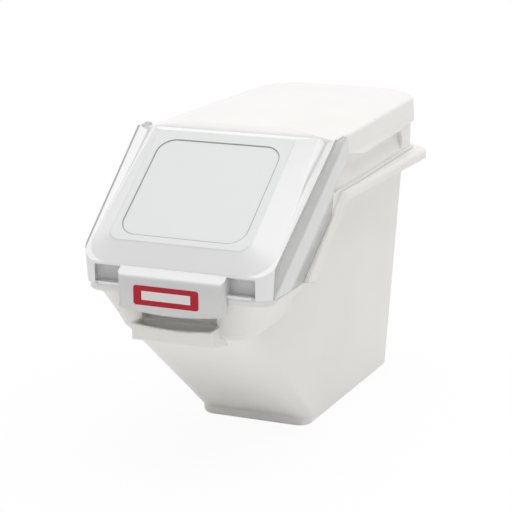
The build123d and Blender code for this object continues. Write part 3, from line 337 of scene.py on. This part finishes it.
def lid_plastic(name, colour):
    """Clear plastic, milky on the panel and handle and clear on the side walls, with painted shade
    on the handle's front, in the recesses and valleys, painted dark lines at the edges and round the
    window, and a painted light band on the side walls.
    """
    n = Nodes(name)
    shader = n.principled(IOR=PLASTIC_IOR)
    coordinates = n.add("ShaderNodeTexCoord")
    place = coordinates.outputs["Object"]
    facing = n.add("ShaderNodeSeparateXYZ")
    split = n.add("ShaderNodeSeparateXYZ")
    n.join(coordinates.outputs["Normal"], facing.inputs["Vector"])
    n.join(place, split.inputs["Vector"])
    across = n.math("ABSOLUTE", split.outputs["X"])
    along = split.outputs["Y"]
    height = split.outputs["Z"]

    rise = height_above(n, place, PANEL_REAR, PANEL_ANGLE)
    top = n.math("GREATER_THAN", rise, PANEL_TOP_RISE)
    sideways = n.ranged(n.math("ABSOLUTE", facing.outputs["X"]), SIDEWAYS_START, SIDEWAYS_FULL, 0, 1)
    side = n.math("MULTIPLY", sideways, n.math("GREATER_THAN", across, SIDE_WALLS_START))
    # The handle's upright faces, which get painted shade through a lower haze
    upright = n.math("LESS_THAN", facing.outputs["Z"], UPRIGHT_LIMIT)
    handle = n.math("MULTIPLY", n.math("LESS_THAN", along, FRONT_WALL), upright)
    # The front recesses beside the handle, darkened by painted shade through a lower haze
    recess_shade = box_mask(
        n,
        (across, along, height),
        (-1, FRONT_WALL, 0),
        (RECESS_HALF_WIDTH, FRONT_WALL + RECESS_DEPTH, RECESS_TOP),
    )
    lean = n.math("MULTIPLY", n.math("SUBTRACT", PANEL_REAR.z, height), SIDE_FLARE)
    inward = n.math("SUBTRACT", n.math("SUBTRACT", PANEL_HALF_WIDTH, lean), across)
    # A dark line painted along the lid's outer edges, for the refraction in the plastic there
    painted_edge_line = n.math("LESS_THAN", inward, EDGE_LINE)
    # Painted shade along the bottoms of the valleys next to the lid's outer edges
    off_middle = n.math("ABSOLUTE", n.math("SUBTRACT", inward, VALLEY_MIDDLE))
    valley_shade = n.ranged(off_middle, 0, VALLEY_LINE, 1, 0)
    valley_shade = n.math("MULTIPLY", valley_shade, n.math("LESS_THAN", rise, 0))
    valley_shade = n.math("MULTIPLY", valley_shade, n.math("GREATER_THAN", along, FRONT_WALL + RECESS_DEPTH))
    valley_shade = n.math("MULTIPLY", valley_shade, n.math("GREATER_THAN", rise, VALLEY_FLOOR))

    # Painted light band on the side walls, which stands for the flange seen through the clear
    # plastic
    up_wall = height_above(n, place, SIDE_FOOT, SIDE_FOOT_ANGLE)
    band_start = n.ranged(up_wall, SIDE_BAND_START - SIDE_BAND_FADE, SIDE_BAND_START, 0, 1)
    band_end = n.ranged(up_wall, SIDE_BAND_END, SIDE_BAND_END + SIDE_BAND_FADE, 1, 0)
    band = n.math("MULTIPLY", band_start, band_end)

    haze = n.ranged(top, 0, 1, BEVEL_HAZE, TOP_HAZE)
    haze = n.blend(handle, haze, HANDLE_SHADE_HAZE)
    haze = n.blend(recess_shade, haze, RECESS_SHADE_HAZE)
    haze = n.blend(side, haze, n.ranged(band, 0, 1, SIDE_HAZE, PAINTED_FLANGE_BAND_HAZE))
    n.join(n.math("SUBTRACT", 1, haze), shader.inputs["Transmission Weight"])

    tint = n.mixed(top, n.mottled(colour, CLEAR_TONE_PATCH, CLEAR_TONE_SHARE), TOP_TINT)
    tint = n.mixed(valley_shade, tint, VALLEY_SHADE_GREY)
    # Painted dark lines round the window and along the outer edges, kept off the side walls
    lines = n.math("MAXIMUM", n.math("MULTIPLY", top, window_shade_line(n, place)), painted_edge_line)
    lines = n.math("MULTIPLY", lines, n.math("SUBTRACT", 1, side))
    n.join(n.mixed(lines, tint, PAINTED_DARK_LINE_GREY), shader.inputs["Base Color"])

    rubs = n.noise(CLEAR_RUB_SIZE, stretch=CLEAR_RUB_STRETCH)
    rubs = n.ranged(rubs, *NOISE_BROAD, 1 - LID_RUBS, 1 + LID_RUBS)
    smooth = n.ranged(side, 0, 1, PANEL_ROUGHNESS, SIDE_ROUGHNESS)
    n.join(n.math("MULTIPLY", rubs, smooth), shader.inputs["Roughness"])
    n.join(n.flow_waves(), shader.inputs["Normal"])
    n.join(shader.outputs["BSDF"], n.output.inputs["Surface"])
    return n.material


def write_on_label(name):
    """Red plate with a bare write-on strip in its middle."""
    low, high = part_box("label_plate")
    n = Nodes(name)
    split = n.add("ShaderNodeSeparateXYZ")
    n.join(n.place(), split.inputs["Vector"])
    panel = box_mask(
        n,
        (split.outputs["X"], split.outputs["Z"]),
        (low.x + LABEL_STRIP_SIDE, low.z + LABEL_STRIP_EDGE),
        (high.x - LABEL_STRIP_SIDE, high.z - LABEL_STRIP_EDGE),
    )
    fibres = n.ranged(n.noise(FIBRE_SIZE), *NOISE_BROAD, 0, 1)
    paper = n.mixed(fibres, darker(LABEL_PAPER, PAPER_SHARE), LABEL_PAPER)
    ink = n.mixed(fibres, darker(LABEL_RED, INK_SHARE), LABEL_RED)
    shader = n.principled(Specular_IOR_Level=LABEL_SPECULAR)
    n.join(n.mixed(panel, ink, paper), shader.inputs["Base Color"])
    patches = n.ranged(n.noise(PRINT_PATCH), *NOISE_BROAD, *PRINT_ROUGHNESS)
    n.join(patches, shader.inputs["Roughness"])
    normal = n.bump(n.noise(PRINT_GRAIN_SIZE, detail=2.0), PRINT_GRAIN_DEPTH)
    n.join(normal, shader.inputs["Normal"])
    n.join(shader.outputs["BSDF"], n.output.inputs["Surface"])
    return n.material


def dress_nodes():
    """Gives each CAD node its material."""
    looks = {
        "bin_body": moulded_plastic("bin_plastic", BIN_WHITE, BIN_ROUGHNESS),
        "rear_cover": moulded_plastic("cover_plastic", COVER_WHITE, COVER_ROUGHNESS),
        "front_lid": lid_plastic("lid_plastic", LID_CLEAR),
        "label_plate": write_on_label("label_print"),
        "scoop": clear_plastic("scoop_plastic", SCOOP_TINT, SCOOP_HAZE, SCOOP_ROUGHNESS),
    }
    for name, material in looks.items():
        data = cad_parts[name].data
        data.materials.clear()
        data.materials.append(material)


def aim(thing, target):
    """Turns a thing so that it looks at the target."""
    thing.rotation_mode = "QUATERNION"
    thing.rotation_quaternion = (target - thing.location).to_track_quat("-Z", "Y")


def make_floor():
    """Pale floor that looks white and keeps the shadow of the bin."""
    n = Nodes("floor_white")
    path = n.add("ShaderNodeLightPath")
    seen = n.math("MAXIMUM", path.outputs["Is Camera Ray"], path.outputs["Is Transmission Ray"])
    seen = n.math("MAXIMUM", seen, path.outputs["Is Glossy Ray"])
    length = n.add("ShaderNodeVectorMath", operation="LENGTH")
    n.join(n.place(), length.inputs[0])
    far = n.ranged(length.outputs["Value"], FLOOR_NEAR, FLOOR_FAR, 0, 1)
    diffuse = n.add("ShaderNodeBsdfDiffuse")
    diffuse.inputs["Color"].default_value = (*FLOOR_WHITE, 1)
    glow = n.add("ShaderNodeEmission")
    mix = n.add("ShaderNodeMixShader")
    glow_share = n.math("MULTIPLY", seen, n.ranged(far, 0, 1, FLOOR_CAMERA_SHARE, 1))
    n.join(glow_share, mix.inputs["Fac"])
    n.join(diffuse.outputs["BSDF"], mix.inputs[1])
    n.join(glow.outputs["Emission"], mix.inputs[2])
    n.join(mix.outputs["Shader"], n.output.inputs["Surface"])
    mesh = bpy.data.meshes.new("floor")
    corners = [(-1, -1), (1, -1), (1, 1), (-1, 1)]
    mesh.from_pydata([(FLOOR_HALF * x, FLOOR_HALF * y, 0) for x, y in corners], [], [(0, 1, 2, 3)])
    mesh.materials.append(n.material)
    floor = bpy.data.objects.new("floor", mesh)
    bpy.context.scene.collection.objects.link(floor)


def make_world():
    """Even soft light all round, seen as white."""
    world = bpy.data.worlds.new("studio")
    bpy.context.scene.world = world
    world.use_nodes = True
    tree = world.node_tree
    tree.nodes.clear()
    output = tree.nodes.new("ShaderNodeOutputWorld")
    path = tree.nodes.new("ShaderNodeLightPath")
    background = tree.nodes.new("ShaderNodeBackground")
    background.inputs["Color"].default_value = (1, 1, 1, 1)
    seen = tree.nodes.new("ShaderNodeMath")
    seen.operation = "MAXIMUM"
    seen_all = tree.nodes.new("ShaderNodeMath")
    seen_all.operation = "MAXIMUM"
    strength = tree.nodes.new("ShaderNodeMapRange")
    strength.inputs["To Min"].default_value = WORLD_LIGHT
    strength.inputs["To Max"].default_value = 1.0
    tree.links.new(path.outputs["Is Camera Ray"], seen.inputs[0])
    tree.links.new(path.outputs["Is Glossy Ray"], seen.inputs[1])
    tree.links.new(seen.outputs["Value"], seen_all.inputs[0])
    tree.links.new(path.outputs["Is Transmission Ray"], seen_all.inputs[1])
    tree.links.new(seen_all.outputs["Value"], strength.inputs["Value"])
    tree.links.new(strength.outputs["Result"], background.inputs["Strength"])
    tree.links.new(background.outputs["Background"], output.inputs["Surface"])


def make_camera():
    """Camera that looks at the bin as the photograph does."""
    ahead = Vector(
        (
            -math.sin(CAMERA_AZIMUTH) * math.cos(CAMERA_ELEVATION),
            math.cos(CAMERA_AZIMUTH) * math.cos(CAMERA_ELEVATION),
            -math.sin(CAMERA_ELEVATION),
        )
    )
    right = Vector((math.cos(CAMERA_AZIMUTH), math.sin(CAMERA_AZIMUTH), 0))
    up = right.cross(ahead)
    roll = Matrix.Rotation(-CAMERA_ROLL, 3, ahead)
    right, up = roll @ right, roll @ up
    turn = Matrix((right, up, -ahead)).transposed()
    data = bpy.data.cameras.new("camera")
    data.lens = CAMERA_LENS
    data.sensor_width = CAMERA_SENSOR
    camera = bpy.data.objects.new("camera", data)
    camera.matrix_world = Matrix.Translation(CAMERA_PLACE) @ turn.to_4x4()
    bpy.context.scene.collection.objects.link(camera)
    bpy.context.scene.camera = camera


def make_lights():
    """Broad soft light from above, like the ceiling panels of a photo studio."""
    data = bpy.data.lights.new("overhead", "SUN")
    data.energy = SUN_STRENGTH
    data.angle = SUN_SPREAD
    lamp = bpy.data.objects.new("overhead", data)
    lamp.location = SUN_PLACE
    bpy.context.scene.collection.objects.link(lamp)
    aim(lamp, Vector((0, 0, 0)))


dress_nodes()
make_floor()
make_world()
make_lights()
make_camera()
bpy.context.scene.view_settings.view_transform = "Standard"
